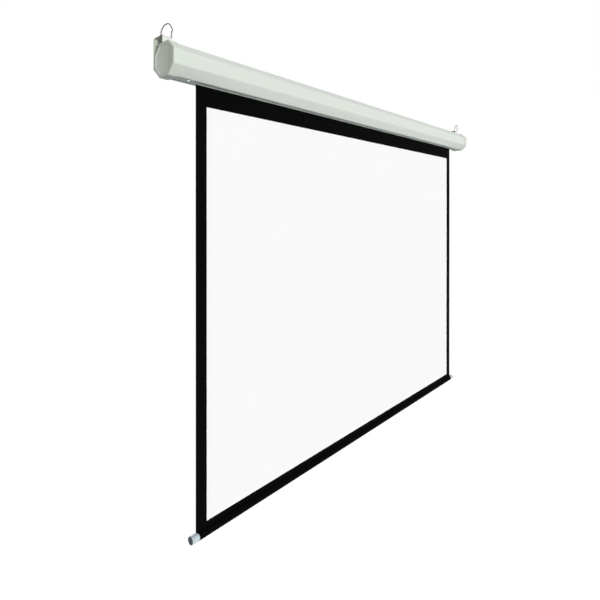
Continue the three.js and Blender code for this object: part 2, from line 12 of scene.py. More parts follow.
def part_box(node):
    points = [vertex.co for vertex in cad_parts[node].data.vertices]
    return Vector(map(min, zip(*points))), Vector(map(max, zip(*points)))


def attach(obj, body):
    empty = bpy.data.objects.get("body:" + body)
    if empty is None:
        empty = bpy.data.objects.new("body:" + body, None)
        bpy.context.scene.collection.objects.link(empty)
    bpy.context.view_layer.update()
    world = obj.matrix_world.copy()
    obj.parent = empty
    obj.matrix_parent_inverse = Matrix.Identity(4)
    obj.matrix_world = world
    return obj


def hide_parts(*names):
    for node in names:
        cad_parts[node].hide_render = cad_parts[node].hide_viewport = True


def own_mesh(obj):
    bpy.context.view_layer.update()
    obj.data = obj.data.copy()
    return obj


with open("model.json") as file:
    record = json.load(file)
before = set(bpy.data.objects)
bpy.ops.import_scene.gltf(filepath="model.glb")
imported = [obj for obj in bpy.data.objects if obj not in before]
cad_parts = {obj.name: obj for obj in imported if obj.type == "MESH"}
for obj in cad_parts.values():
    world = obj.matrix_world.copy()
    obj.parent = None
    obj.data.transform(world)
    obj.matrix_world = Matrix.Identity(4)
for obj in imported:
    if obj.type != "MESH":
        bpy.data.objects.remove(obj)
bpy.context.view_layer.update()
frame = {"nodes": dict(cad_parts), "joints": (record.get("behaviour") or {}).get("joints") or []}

MM = 0.001

# The two ends of the object, with the sign of X at each, and the two screws of a pair
HANDS = (("left", -1), ("right", 1))
LEVELS = ("lower", "upper")

# Case and caps
CHAMFER_DEPTH = 28 * MM
CHAMFER_HEIGHT = 26 * MM
CASE_WALL = 1.2 * MM
CREASE_RADIUS = 2.4 * MM
LIP_HEIGHT = 6 * MM
LIP_RADIUS = 0.8 * MM
STRIP_FLAT = 0.03 * MM
ACCESS_RADIUS = 3 * MM
CAP_CORNER_RADIUS = 2.6 * MM
CAP_EDGE_RADIUS = 1.3 * MM
CAP_END_WALL = 4 * MM
CAP_OFFSET = 2.3 * MM
CAP_RIM = 9 * MM
CAP_STEP = 1.3 * MM
CAP_STEP_RADIUS = 0.5 * MM
CAP_STEP_CORNER = 2 * MM
CAP_DRAFT = 0.6 * MM
CAP_ROUND_STEPS = 3
FIT = 0.3 * MM

# Way in for the supply lead
GROMMET_LIP = 1 * MM
GROMMET_NECK_SHARE = 0.75
GROMMET_BORE_SHARE = 0.4375
GROMMET_ROUND_SHARE = 0.4

# Hangers and bails
STRAP_THICKNESS = 2.5 * MM
STRAP_BEND = 6.5 * MM
STRAP_EDGE = 0.35 * MM
STRAP_TAIL_RADIUS = 3 * MM
STRAP_SIDE_ANGLE = math.radians(40)
# Material slots of a strap: its dark sheared sides, and painted shade on the faces that look at the cap
STRAP_CUT_MATERIAL, STRAP_PAINTED_SHADE_MATERIAL = 1, 2
KNUCKLE_RADIUS = 4.5 * MM
WIRE_RADIUS = 1.6 * MM
WIRE_PLAY = 0.3 * MM
WIRE_SIDES = 16
BAIL_ELBOW = 3.2 * MM
BAIL_TONGUE = 7 * MM
BAIL_LEAN = math.radians(10.5)
BAIL_KNEE = (-16.4 * MM, 13.5 * MM)
BAIL_HAUNCH = (-9.5 * MM, 31.4 * MM)
BAIL_CROWN = (4.8 * MM, 42.1 * MM)
BAIL_SHOULDER = (18 * MM, 28.6 * MM)
BAIL_ANKLE = (16 * MM, 19 * MM)
KNEE_RADIUS = 24 * MM
HAUNCH_RADIUS = 18 * MM
CROWN_RADIUS = 8 * MM
SHOULDER_RADIUS = 5 * MM
ANKLE_RADIUS = 12 * MM

# Fabric, hem and weight tube
PICTURE_WIDTH = 1707 * MM
PICTURE_HEIGHT = 1280 * MM
BOTTOM_BORDER = 44 * MM
FABRIC_THICKNESS = 0.45 * MM
HEM_WELD = 2 * MM
WELD_GAP = 0.1 * MM
SHEET_COLUMNS, SHEET_ROWS = 48, 40
SHEET_FRONT_MATERIAL, SHEET_BACK_MATERIAL = 0, 1
FRONT_NORMAL_Y = -0.5
HEM_STEPS = 36
SHEET_SWAY = 0.5 * MM
WAVE_ACROSS, WAVE_START = 5, 1
WAVE_DOWN, WAVE_TOP = 4, 0.6
RIPPLE_ACROSS, RIPPLE_DOWN = 13, 3
RIPPLE_SHARE = 0.4
TUBE_WALL = 1.2 * MM
SMALL_EDGE = 0.3 * MM
PLUG_FLANGE = 2 * MM
PLUG_RIM_RADIUS = 1.5 * MM
PLUG_RIM_STEPS = 6
PLUG_EDGE = 0.4 * MM
PLUG_DISH_DEPTH = 1.2 * MM
PLUG_DISH_SHARE = 0.66
PLUG_BOSS_SHARE = 0.36

# Screws
SCREW_RADIUS = 2 * MM
SCREW_HEAD_RADIUS = 4 * MM
SCREW_HEAD_HEIGHT = 2 * MM
FLUSH_HEAD_HEIGHT = 1.9 * MM
CROSS_WIDTH = 0.9 * MM
CROSS_LENGTH = 4.4 * MM
CROSS_DEPTH = 1.2 * MM
SCREW_TIP = SCREW_RADIUS / 3
CROSS_FLOOR_WIDTH_SHARE = 0.6
CROSS_FLOOR_LENGTH_SHARE = 0.55
DOME_FOOT_SHARE = 0.35
DOME_ROUNDNESS = 0.7
DOME_STEPS = 8

# Mesh work: how finely round shapes are stepped, and from which angle an edge counts as sharp
ROUND_STEPS = 32
FINE_STEPS = 64
BEND_STEP = math.radians(9)
LEAST_BEND_STEPS = 3
SHARP_ANGLE = math.radians(30)
SMOOTH_ANGLE = math.radians(38)
PLUG_SHARP_ANGLE = math.radians(50)
SQUARE_ANGLE = math.radians(60)
MERGE_DISTANCE = 0.01 * MM

# Camera, from the photograph's own perspective
CAMERA_PLACE = (-1.66222, -1.18389, -0.43975)
CAMERA_YAW = math.radians(-47.28)
CAMERA_LENS = 26.50
SENSOR_WIDTH = 36
CAMERA_SHIFT = -0.1432
CAMERA_REACH = 100

# Studio
FLOOR_HEIGHT = -2.2
FLOOR_SIZE = 24
AMBIENT = 0.4
FLOOR_BOUNCE = 0.05
FLOOR_SEEN = 0.8
FLOOR_GLOW = 0.62
KEY_LIGHT = 2.55
KEY_DIRECTION = (0.25, 0.95, 0.17)
KEY_SPREAD = math.radians(10)
BACK_LIGHT = 1.4
BACK_DIRECTION = (-0.45, -0.85, -0.3)
BACK_SPREAD = math.radians(60)


# The sockets of a Mix node that hold its factor, its two colours and the mixed colour
MIX_FACTOR, MIX_FIRST, MIX_SECOND, MIX_RESULT = 0, 6, 7, 2


# Shader sums
class Socket:
    """A shader socket that can be used in sums."""

    def __init__(self, graph, socket):
        self.graph = graph
        self.socket = socket

    def sum(self, operation, *values):
        return self.graph.add("ShaderNodeMath", {"operation": operation}, dict(enumerate(values)))

    def __add__(self, other):
        return self.sum("ADD", self, other)

    def __sub__(self, other):
        return self.sum("SUBTRACT", self, other)

    def __rsub__(self, other):
        return self.sum("SUBTRACT", other, self)

    def __mul__(self, other):
        return self.sum("MULTIPLY", self, other)

    def __lt__(self, other):
        return self.sum("LESS_THAN", self, other)

    def __gt__(self, other):
        return self.sum("GREATER_THAN", self, other)

    def __abs__(self):
        return self.sum("ABSOLUTE", self)

    def larger(self, other):
        return self.sum("MAXIMUM", self, other)

    __radd__ = __add__
    __rmul__ = __mul__


class Graph:
    """The node tree of a material or a world, emptied, and the methods that fill it."""

    def __init__(self, owner):
        owner.use_nodes = True
        self.owner = owner
        self.tree = owner.node_tree
        self.tree.nodes.clear()

    def add(self, kind, settings=None, sockets=None, output=0):
        """Makes a node: its settings come first, then the values or links of its sockets."""
        node = self.tree.nodes.new(kind)
        for name, value in (settings or {}).items():
            setattr(node, name, value)
        for name, value in (sockets or {}).items():
            if isinstance(value, Socket):
                self.tree.links.new(value.socket, node.inputs[name])
            else:
                node.inputs[name].default_value = value
        return Socket(self, node.outputs[output]) if node.outputs else None

    def noise(self, scale, detail, stretch=(1, 1, 1), uv=False):
        source = self.add("ShaderNodeTexCoord", output="UV" if uv else "Object")
        place = self.add("ShaderNodeMapping", {}, {"Vector": source, "Scale": stretch})
        return self.add("ShaderNodeTexNoise", {}, {"Vector": place, "Scale": scale, "Detail": detail})

    def mix(self, factor, first, second):
        colours = {MIX_FACTOR: factor, MIX_FIRST: first, MIX_SECOND: second}
        return self.add("ShaderNodeMix", {"data_type": "RGBA"}, colours, output=MIX_RESULT)

    def bump(self, height, depth, strength):
        return self.add("ShaderNodeBump", {}, {"Height": height, "Distance": depth, "Strength": strength})

    def surface(self, **sockets):
        named = {name.replace("_", " "): value for name, value in sockets.items()}
        shader = self.add("ShaderNodeBsdfPrincipled", {}, named)
        self.add("ShaderNodeOutputMaterial", {}, {"Surface": shader})
        return self.owner


def new_graph(name):
    return Graph(bpy.data.materials.new(name))


def rgb(red, green, blue):
    return (red, green, blue, 1)


def uneven(base, spread, noise):
    """A value that a noise raises by up to a spread."""
    return base + spread * noise


# Finishes
FABRIC_BLACK = rgb(0.0012, 0.0012, 0.0013)
COAT_SPECULAR = 0.4
CLOTH_SPECULAR = 0.03


def powder_coat(name, colour, shade, roughness):
    """Baked powder: a slow drift of colour, a fine orange peel, and grit."""
    g = new_graph(name)
    drift = g.noise(scale=5, detail=3)
    peel = g.noise(scale=750, detail=1)
    grit = g.noise(scale=2600, detail=2)
    return g.surface(
        Base_Color=g.mix(drift, colour, shade),
        Roughness=uneven(roughness, spread=0.08, noise=grit),
        Normal=g.bump(uneven(peel, spread=0.35, noise=grit), depth=0.04 * MM, strength=0.5),
        Specular_IOR_Level=COAT_SPECULAR,
    )


def moulded_plastic(name, colour, shade, roughness):
    """Plastic with the fine texture of its mould."""
    g = new_graph(name)
    drift = g.noise(scale=18, detail=3)
    texture = g.noise(scale=1700, detail=3)
    return g.surface(
        Base_Color=g.mix(drift, colour, shade),
        Roughness=uneven(roughness, spread=0.12, noise=texture),
        Normal=g.bump(texture, depth=0.05 * MM, strength=0.6),
        Specular_IOR_Level=COAT_SPECULAR,
    )


def plated_steel(name, colour, shade, roughness, streak=(1, 1, 1)):
    """Metal with a cloudy surface and fine scratches, drawn out along an axis whose streak is small."""
    g = new_graph(name)
    cloud = g.noise(scale=60, detail=4, stretch=streak)
    scratch = g.noise(scale=900, detail=2, stretch=streak)
    return g.surface(
        Base_Color=g.mix(cloud, colour, shade),
        Metallic=1,
        Roughness=uneven(roughness, spread=0.16, noise=cloud),
        Normal=g.bump(scratch, depth=0.02 * MM, strength=0.5),
    )


def drawn_wire():
    """Dark, half-bright steel wire with faint draw marks."""
    g = new_graph("bail_wire")
    cloud = g.noise(scale=140, detail=4)
    drawn = g.noise(scale=1500, detail=2, stretch=(1, 1, 0.08))
    return g.surface(
        Base_Color=g.mix(cloud, rgb(0.17, 0.15, 0.13), rgb(0.09, 0.078, 0.066)),
        Metallic=0.6,
        Roughness=uneven(0.34, spread=0.14, noise=cloud),
        Normal=g.bump(drawn, depth=0.03 * MM, strength=0.6),
    )


def screen_front(size):
    """White picture and black border, placed by the sheet's own UV map."""
    g = new_graph("screen_front")
    place = g.add("ShaderNodeTexCoord", output="UV")
    across = g.add("ShaderNodeSeparateXYZ", {}, {"Vector": place}, output="X")
    down = g.add("ShaderNodeSeparateXYZ", {}, {"Vector": place}, output="Y")
    width, length = size
    cut = (width, length, 1)
    from_middle = abs(across - 0.5)
    picture_top = (length - PICTURE_HEIGHT) / length
    inside = (from_middle < PICTURE_WIDTH / 2 / width) * (down > picture_top)
    drift = g.noise(scale=7, detail=2, stretch=cut, uv=True)
    grain = g.noise(scale=900, detail=2, stretch=cut, uv=True)
    white = g.mix(drift, rgb(0.97, 0.972, 0.97), rgb(0.95, 0.952, 0.95))
    black = g.mix(grain, FABRIC_BLACK, rgb(0.0024, 0.0024, 0.0025))
    return g.surface(
        Base_Color=g.mix(inside, black, white),
        Roughness=uneven(0.8, spread=0.1, noise=grain),
        Normal=g.bump(grain, depth=0.04 * MM, strength=0.35),
        Specular_IOR_Level=CLOTH_SPECULAR,
    )


def black_cloth(name):
    """The sheet's black back and foot: matt, with a fine grain."""
    g = new_graph(name)
    grain = g.noise(scale=1600, detail=2)
    drift = g.noise(scale=12, detail=3)
    return g.surface(
        Base_Color=g.mix(drift, FABRIC_BLACK, rgb(0.0026, 0.0026, 0.0028)),
        Roughness=uneven(0.78, spread=0.14, noise=grain),
        Normal=g.bump(grain, depth=0.06 * MM, strength=0.5),
        Specular_IOR_Level=CLOTH_SPECULAR,
    )


case_paint = powder_coat("case_paint", rgb(0.725, 0.785, 0.715), rgb(0.745, 0.785, 0.735), 0.4)
hanger_paint = powder_coat("hanger_paint", rgb(0.73, 0.785, 0.72), rgb(0.75, 0.785, 0.74), 0.38)
cut_steel = plated_steel("cut_steel", rgb(0.26, 0.24, 0.19), rgb(0.2, 0.18, 0.14), 0.45)
# A darker coat for the strap's faces that look at the cap: painted shade, not a second paint
painted_shade_coat = powder_coat("painted_shade_coat", rgb(0.5, 0.525, 0.46), rgb(0.45, 0.475, 0.41), 0.5)
cap_plastic = moulded_plastic("cap_plastic", rgb(0.74, 0.78, 0.705), rgb(0.715, 0.785, 0.69), 0.42)
edge_strip = moulded_plastic("edge_strip", rgb(0.42, 0.47, 0.445), rgb(0.39, 0.44, 0.42), 0.4)
zinc_steel = plated_steel("zinc_steel", rgb(0.62, 0.63, 0.64), rgb(0.5, 0.51, 0.53), 0.28)
screw_steel = plated_steel("screw_steel", rgb(0.75, 0.76, 0.76), rgb(0.66, 0.67, 0.68), 0.2)
bail_wire = drawn_wire()
roller_metal = plated_steel("roller_metal", rgb(0.66, 0.67, 0.68), rgb(0.55, 0.56, 0.58), 0.3, (0.05, 1, 1))
motor_metal = plated_steel("motor_metal", rgb(0.3, 0.32, 0.34), rgb(0.24, 0.26, 0.28), 0.38, (0.1, 1, 1))
head_plastic = moulded_plastic("head_plastic", rgb(0.03, 0.032, 0.035), rgb(0.022, 0.024, 0.027), 0.45)
nylon = moulded_plastic("nylon", rgb(0.78, 0.77, 0.72), rgb(0.74, 0.73, 0.67), 0.4)
bush_plastic = moulded_plastic("bush_plastic", rgb(0.04, 0.04, 0.045), rgb(0.03, 0.03, 0.034), 0.35)
rubber = moulded_plastic("rubber", rgb(0.016, 0.016, 0.017), rgb(0.024, 0.024, 0.025), 0.7)
terminal_plastic = moulded_plastic("terminal_plastic", rgb(0.78, 0.8, 0.78), rgb(0.74, 0.76, 0.74), 0.25)
limit_plastic = moulded_plastic("limit_plastic", rgb(0.7, 0.62, 0.06), rgb(0.62, 0.55, 0.05), 0.3)
tube_finish = powder_coat("tube_finish", rgb(0.54, 0.66, 0.7), rgb(0.6, 0.68, 0.73), 0.3)
plug_plastic = moulded_plastic("plug_plastic", rgb(0.03, 0.045, 0.058), rgb(0.045, 0.062, 0.078), 0.36)
black_fabric = black_cloth("black_fabric")


# Mesh work
def soften(bm, radius, segments, angle=SHARP_ANGLE):
    """Rounds every edge that is sharper than the angle."""
    sharp = [e for e in bm.edges if len(e.link_faces) == 2 and e.calc_face_angle(0) > angle]
    bevel(bm, sharp, radius, segments)


def bevel(bm, edges, radius, segments, affect="EDGES"):
    """Rounds the given edges or, with VERTICES, the corners of a flat outline."""
    bmesh.ops.bevel(
        bm, geom=edges, offset=radius, offset_type="OFFSET", affect=affect, segments=segments,
        profile=0.5, material=-1, clamp_overlap=True)


def polyline_along_x(points, start, end):
    """An open line of Y and Z points, drawn out along X."""
    bm = bmesh.new()
    verts = [bm.verts.new((start, y, z)) for y, z in points]
    edges = [bm.edges.new(pair) for pair in zip(verts, verts[1:])]
    drawn = bmesh.ops.extrude_edge_only(bm, edges=edges)["geom"]
    far = [item for item in drawn if isinstance(item, bmesh.types.BMVert)]
    bmesh.ops.translate(bm, verts=far, vec=(end - start, 0, 0))
    return bm


def plate_along_x(points, start, end):
    """A closed outline of Y and Z points, drawn out along X into a solid."""
    bm = bmesh.new()
    face = bm.faces.new([bm.verts.new((start, y, z)) for y, z in points])
    drawn = bmesh.ops.extrude_face_region(bm, geom=[face])["geom"]
    far = [item for item in drawn if isinstance(item, bmesh.types.BMVert)]
    bmesh.ops.translate(bm, verts=far, vec=(end - start, 0, 0))
    bmesh.ops.recalc_face_normals(bm, faces=bm.faces)
    return bm


def lengthwise(bm, chosen):
    """The inner edges along X whose middle the chosen test takes."""
    found = []
    for edge in bm.edges:
        first, second = (v.co for v in edge.verts)
        along = abs(first.x - second.x) > max(abs(first.y - second.y), abs(first.z - second.z))
        if along and len(edge.link_faces) == 2 and chosen((first + second) / 2):
            found.append(edge)
    return found


def turned(profile, y, z, steps=ROUND_STEPS):
    """A closed profile of X and radius points, spun round the line along X at y and z."""
    bm = bmesh.new()
    verts = [bm.verts.new((x, y + radius, z)) for x, radius in profile]
    edges = [bm.edges.new(pair) for pair in zip(verts, verts[1:] + verts[:1])]
    bmesh.ops.spin(
        bm, geom=verts + edges, cent=(0, y, z), axis=(1, 0, 0), angle=2 * math.pi,
        steps=steps, use_merge=True)
    bmesh.ops.remove_doubles(bm, verts=bm.verts, dist=MERGE_DISTANCE)
    bmesh.ops.dissolve_degenerate(bm, edges=bm.edges, dist=MERGE_DISTANCE)
    bmesh.ops.recalc_face_normals(bm, faces=bm.faces)
    return bm


def object_of(name, bm):
    """Moves a bmesh into a new object."""
    mesh = bpy.data.meshes.new(name)
    bm.to_mesh(mesh)
    bm.free()
    made = bpy.data.objects.new(name, mesh)
    bpy.context.scene.collection.objects.link(made)
    return made


def combine(first, second, operation):
    """The first bmesh joined with, or cut by, the second."""
    body, tool = object_of("body", first), object_of("tool", second)
    modifier = body.modifiers.new("cut", "BOOLEAN")
    modifier.operation = operation
    modifier.solver = "EXACT"
    modifier.object = tool
    bpy.context.view_layer.update()
    result = bpy.data.meshes.new_from_object(body.evaluated_get(bpy.context.evaluated_depsgraph_get()))
    bm = bmesh.new()
    bm.from_mesh(result)
    for old in (body, tool):
        bpy.data.objects.remove(old)
    bpy.data.meshes.remove(result)
    return bm


def moved(bm, matrix):
    """The bmesh itself, after a matrix has moved it."""
    bmesh.ops.transform(bm, matrix=matrix, verts=bm.verts)
    return bm


def aimed(place, direction):
    """The matrix that turns +X to a direction and moves the origin to a place."""
    return Matrix.Translation(place) @ Vector(direction).to_track_quat("X", "Z").to_matrix().to_4x4()


def screw_place(node, axis, end):
    """The middle of a screw's end face: its high end along the axis, or its low end."""
    low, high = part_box(node)
    place = (low + high) / 2
    setattr(place, axis, getattr(high if end > 0 else low, axis))
    return place


def piece(name, bm, material, body, stands_for):
    """Turns a bmesh into a finished piece that rides on a body and stands for CAD nodes."""
    made = object_of(name, bm)
    made.data.materials.append(material)
    made.data.shade_smooth()
    made.data.set_sharp_from_angle(angle=SMOOTH_ANGLE)
    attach(made, body)
    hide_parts(*stands_for)
    return made


def mirror_x(bm, side):
    """Leaves a right-hand shape as it is, and mirrors it for the left."""
    if side < 0:
        moved(bm, Matrix.Scale(-1, 4, (1, 0, 0)))
        bmesh.ops.reverse_faces(bm, faces=bm.faces)
    return bm


# Case
shell_low, shell_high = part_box("case_shell")
slot_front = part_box("slot_guide_front")[0].y - FIT
slot_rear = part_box("slot_guide_rear")[1].y + FIT
half_height = shell_high.z


def section_corners(offset):
    """The case's eight corners, moved outwards by an offset, from the bottom's front edge round the back."""
    slope = math.hypot(CHAMFER_DEPTH, CHAMFER_HEIGHT)
    growth = offset * (CHAMFER_DEPTH + CHAMFER_HEIGHT - slope) / (CHAMFER_DEPTH * CHAMFER_HEIGHT)
    corner_y = CHAMFER_DEPTH * (1 + growth)
    corner_z = CHAMFER_HEIGHT * (1 + growth)
    front, back, top = shell_low.y - offset, shell_high.y + offset, half_height + offset
    return [
        (front + corner_y, -top), (back - corner_y, -top), (back, corner_z - top), (back, top - corner_z),
        (back - corner_y, top), (front + corner_y, top), (front, top - corner_z), (front, corner_z - top),
    ]


def at_slot(place):
    """Whether a place is on the lips of the slot."""
    return slot_front - CASE_WALL < place.y < slot_rear + CASE_WALL and place.z < 0


def case_cover():
    """One bent sheet: soft creases, both edges of the slot turned up, and holes to the limit screws."""
    bottom_front, *others = section_corners(0)
    lip_top = LIP_HEIGHT - half_height
    line = [(slot_rear, lip_top), (slot_rear, -half_height), *others, bottom_front,
            (slot_front, -half_height), (slot_front, lip_top)]
    bm = polyline_along_x(line, shell_low.x, shell_high.x)
    bmesh.ops.recalc_face_normals(bm, faces=bm.faces)
    bevel(bm, lengthwise(bm, lambda place: not at_slot(place)), CREASE_RADIUS, segments=4)
    lip_edges = lengthwise(bm, lambda place: at_slot(place) and place.z < lip_top - LIP_RADIUS)
    bevel(bm, lip_edges, LIP_RADIUS, segments=3)
    bmesh.ops.solidify(bm, geom=bm.faces[:], thickness=CASE_WALL)
    over = 2 * CASE_WALL
    drill = [(-over, 0), (-over, ACCESS_RADIUS), (over, ACCESS_RADIUS), (over, 0)]
    for node in ("limit_screw_up", "limit_screw_down"):
        place = screw_place(node, "z", -1)
        place.z = -half_height
        bm = combine(bm, moved(turned(drill, 0, 0), aimed(place, (0, 0, 1))), "DIFFERENCE")
    return bm


piece("case_cover", case_cover(), case_paint, "case", ["case_shell"])


def slot_strip(node):
    """Plastic edging of the slot, round where the fabric would rub on it."""
    low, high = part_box(node)
    outline = [(low.y, low.z), (high.y, low.z), (high.y, high.z), (low.y, high.z)]
    bm = plate_along_x(outline, low.x, high.x)
    nose = (high.y - low.y) / 2 - STRIP_FLAT
    bevel(bm, lengthwise(bm, lambda place: place.z < low.z + nose), nose, segments=5)
    soften(bm, SMALL_EDGE, segments=1, angle=SQUARE_ANGLE)
    return bm


for node in ("slot_guide_front", "slot_guide_rear"):
    piece(node.replace("guide", "edging"), slot_strip(node), edge_strip, "case", [node])


# End caps
grommet_low, grommet_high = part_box("cable_grommet")
grommet_y, grommet_z = (grommet_low.y + grommet_high.y) / 2, (grommet_low.z + grommet_high.z) / 2


def outline_ring(bm, x, offset, radius):
    """A round-cornered outline of the case at an offset: its face and its loop of edges."""
    old = set(bm.edges)
    corners = [bm.verts.new((x, y, z)) for y, z in section_corners(offset)]
    bm.faces.new(corners)
    # A corner turns by about an eighth of a circle, so its rounding starts this far before it.
    start = max(radius, SMALL_EDGE / 2) * math.tan(math.pi / 8)
    bevel(bm, corners, start, segments=4, affect="VERTICES")
    loop = [edge for edge in bm.edges if edge not in old]
    return loop[0].link_faces[0], loop


def quarter(centre_x, centre_offset, radius, start, steps=CAP_ROUND_STEPS):
    """Places on a quarter circle of X and offset, from a start angle on."""
    turns = (math.radians(start + 90 * step / steps) for step in range(steps + 1))
    return [(centre_x + radius * math.cos(turn), centre_offset + radius * math.sin(turn)) for turn in turns]


def end_cap(side):
    """A moulded octagonal sleeve whose outer face has a raised rim round a sunk panel."""
    low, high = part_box("end_cap_right")
    floor, inner_rim = high.x - CAP_STEP, CAP_OFFSET - CAP_RIM
    foot_offset = inner_rim - CAP_DRAFT - CAP_STEP_RADIUS
    places = [
        *reversed(quarter(floor + CAP_STEP_RADIUS, foot_offset, CAP_STEP_RADIUS, 90)),
        *reversed(quarter(high.x - CAP_STEP_RADIUS, inner_rim + CAP_STEP_RADIUS, CAP_STEP_RADIUS, -90)),
        *quarter(high.x - CAP_EDGE_RADIUS, CAP_OFFSET - CAP_EDGE_RADIUS, CAP_EDGE_RADIUS, 0),
        (low.x + SMALL_EDGE, CAP_OFFSET),
        (low.x, CAP_OFFSET - SMALL_EDGE),
        (low.x, FIT),
        (high.x - CAP_END_WALL, FIT),
    ]
    bm = bmesh.new()
    rings = []
    for x, offset in places:
        outer = offset > inner_rim + CAP_STEP_RADIUS
        radius = CAP_CORNER_RADIUS + offset - CAP_OFFSET if outer else CAP_STEP_CORNER
        rings.append(outline_ring(bm, x, offset, radius))
    bmesh.ops.delete(bm, geom=[face for face, _ in rings[1:-1]], context="FACES_ONLY")
    for (face, first), (face, second) in zip(rings, rings[1:]):
        bmesh.ops.bridge_loops(bm, edges=first + second)
    bmesh.ops.recalc_face_normals(bm, faces=bm.faces)
    if side > 0:
        bore = (grommet_high.z - grommet_low.z) / 2 * GROMMET_NECK_SHARE
        ends = [(low.x, 0), (low.x, bore), (high.x + bore, bore), (high.x + bore, 0)]
        bm = combine(bm, turned(ends, grommet_y, grommet_z), "DIFFERENCE")
    return mirror_x(bm, side)


for hand, side in HANDS:
    piece(f"cap_{hand}", end_cap(side), cap_plastic, "case", [f"end_cap_{hand}"])


def grommet():
    """A rubber grommet with two round lips and a smooth bore."""
    low, high = grommet_low, grommet_high
    lip = (high.z - low.z) / 2
    neck = lip * GROMMET_NECK_SHARE - FIT
    bore = lip * GROMMET_BORE_SHARE
    outline = [
        (low.x, bore), (low.x, lip), (low.x + GROMMET_LIP, lip), (low.x + GROMMET_LIP, neck),
        (high.x - GROMMET_LIP, neck), (high.x - GROMMET_LIP, lip), (high.x, lip), (high.x, bore),
    ]
    bm = turned(outline, grommet_y, grommet_z)
    soften(bm, GROMMET_LIP * GROMMET_ROUND_SHARE, segments=3)
    return bm


piece("lead_grommet", grommet(), rubber, "case", ["cable_grommet"])


# Hangers, their screws and the wire bails
def strap(node, screws):
    """A bent strap over the cap, with a tube for the bail's ends in its front bend."""
    low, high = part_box(node)
    foot = half_height + CAP_OFFSET + FIT
    line = [(low.y, foot), (low.y, high.z), (high.y, high.z), (high.y, low.z)]
    bm = polyline_along_x(line, low.x, high.x)
    tail = [v for v in bm.verts if v.co.z < low.z + FIT]
    bevel(bm, tail, STRAP_TAIL_RADIUS, segments=5, affect="VERTICES")
    bevel(bm, lengthwise(bm, lambda place: place.y < low.y + FIT), KNUCKLE_RADIUS, segments=6)
    bevel(bm, lengthwise(bm, lambda place: place.y > high.y - FIT), STRAP_BEND, segments=8)
    bmesh.ops.recalc_face_normals(bm, faces=bm.faces)
    bmesh.ops.solidify(bm, geom=bm.faces[:], thickness=STRAP_THICKNESS)
    soften(bm, STRAP_EDGE, segments=2, angle=SQUARE_ANGLE)
    knuckle_y, knuckle_z = low.y + KNUCKLE_RADIUS, high.z - KNUCKLE_RADIUS
    bore = WIRE_RADIUS + WIRE_PLAY
    sleeve = [(low.x, bore), (low.x, KNUCKLE_RADIUS), (high.x, KNUCKLE_RADIUS), (high.x, bore)]
    hole = [(low.x - bore, 0), (low.x - bore, bore), (high.x + bore, bore), (high.x + bore, 0)]
    bm = combine(bm, turned(sleeve, knuckle_y, knuckle_z), "UNION")
    bm = combine(bm, turned(hole, knuckle_y, knuckle_z), "DIFFERENCE")
    middle = (low.x + high.x) / 2
    flare = (SCREW_HEAD_RADIUS - SCREW_RADIUS) / FLUSH_HEAD_HEIGHT
    hole_radius = SCREW_RADIUS + FIT
    deep, sink_floor, above = -2 * STRAP_THICKNESS, -FLUSH_HEAD_HEIGHT, FLUSH_HEAD_HEIGHT
    profile = [(deep, 0), (deep, hole_radius), (sink_floor, hole_radius),
               (above, hole_radius + flare * (above - sink_floor)), (above, 0)]
    for screw in screws:
        place = screw_place(screw, "y", 1)
        sink = moved(turned(profile, 0, 0), aimed((middle, place.y, place.z), (0, 1, 0)))
        bm = combine(bm, sink, "DIFFERENCE")
    return bm


def paint_strap(made, node):
    """Leaves the sheared sides of a strap dark, and paints the faces that look at the cap darker: painted
    shade, for the shadow between strap and cap.
    """
    low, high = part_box(node)
    made.data.materials.append(cut_steel)
    # The third material paints shade on the faces that look at the cap
    made.data.materials.append(painted_shade_coat)
    inner_y, inner_z = (low.y + high.y) / 2, (low.z + high.z) / 2
    for face in made.data.polygons:
        inwards = Vector((0, inner_y, inner_z)) - face.center
        inwards.x = 0
        if abs(face.normal.x) > math.cos(STRAP_SIDE_ANGLE):
            face.material_index = STRAP_CUT_MATERIAL
        elif face.normal.dot(inwards) > 0:
            face.material_index = STRAP_PAINTED_SHADE_MATERIAL


def cross_recess(bm, top):
    """Cuts a cross into a screw's head, whose top is at the given X."""
    for turn in (0, math.pi / 2):
        blade = bmesh.new()
        bmesh.ops.create_cube(blade, size=1)
        bmesh.ops.scale(blade, vec=(CROSS_DEPTH * 2, CROSS_WIDTH, CROSS_LENGTH), verts=blade.verts)
        narrow = [v for v in blade.verts if v.co.x < 0]
        taper = (1, CROSS_FLOOR_WIDTH_SHARE, CROSS_FLOOR_LENGTH_SHARE)
        bmesh.ops.scale(blade, vec=taper, verts=narrow)
        moved(blade, Matrix.Translation((top, 0, 0)) @ Matrix.Rotation(turn, 4, "X"))
        bm = combine(bm, blade, "DIFFERENCE")
    return bm


def shank(length):
    """The outline of a screw's shank along X, from the middle of its tip on."""
    return [(-length, 0), (-length, SCREW_RADIUS - SCREW_TIP), (SCREW_TIP - length, SCREW_RADIUS)]


def pan_screw(length):
    """A pan-head screw along X: the head's underside is at zero."""
    rise = SCREW_HEAD_HEIGHT * DOME_FOOT_SHARE
    dome = []
    for step in range(DOME_STEPS):
        turn = step * math.pi / 2 / DOME_STEPS
        height = rise + (SCREW_HEAD_HEIGHT - rise) * math.sin(turn)
        dome.append((height, SCREW_HEAD_RADIUS * math.cos(turn) ** DOME_ROUNDNESS))
    profile = [*shank(length), (0, SCREW_RADIUS), (0, SCREW_HEAD_RADIUS), *dome, (SCREW_HEAD_HEIGHT, 0)]
    return cross_recess(turned(profile, 0, 0), SCREW_HEAD_HEIGHT)


def flush_screw(length):
    """A countersunk screw along X: the head's flat top is at zero."""
    edge = SMALL_EDGE / 2
    profile = [*shank(length), (-FLUSH_HEAD_HEIGHT, SCREW_RADIUS), (-edge, SCREW_HEAD_RADIUS),
               (0, SCREW_HEAD_RADIUS - edge), (0, 0)]
    return cross_recess(turned(profile, 0, 0), 0)


